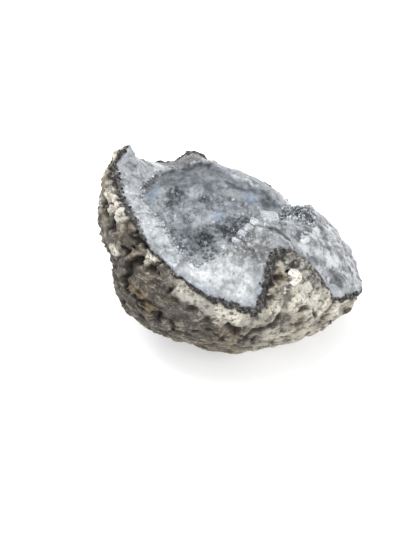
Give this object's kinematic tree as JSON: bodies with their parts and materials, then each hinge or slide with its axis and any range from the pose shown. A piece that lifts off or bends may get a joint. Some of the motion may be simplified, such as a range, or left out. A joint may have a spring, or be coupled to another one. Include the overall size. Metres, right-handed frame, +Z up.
{
  "type": "chalcedony geode half",
  "caption": "Broken half of a small geode: a rough rind round a bowl-shaped cavity lined with grey-blue chalcedony and fine quartz.",
  "frame": {"origin": "on the surface it rests on, under the middle of the stone's bounding box", "axes": "+Z up, out of the cavity; +X along the longest side, from the tall pointed wall to the low shoulder; -Y to the front, where the broken rim dips lowest"},
  "size_m": [0.0684, 0.0597, 0.0484],
  "materials": {
    "geode_stone": "rough granular rind outside, glassy blue-grey chalcedony and fine sugary quartz on the break and in the cavity"
  },
  "bodies": {
    "root": {"geode": "geode_stone"}
  },
  "joints": []
}
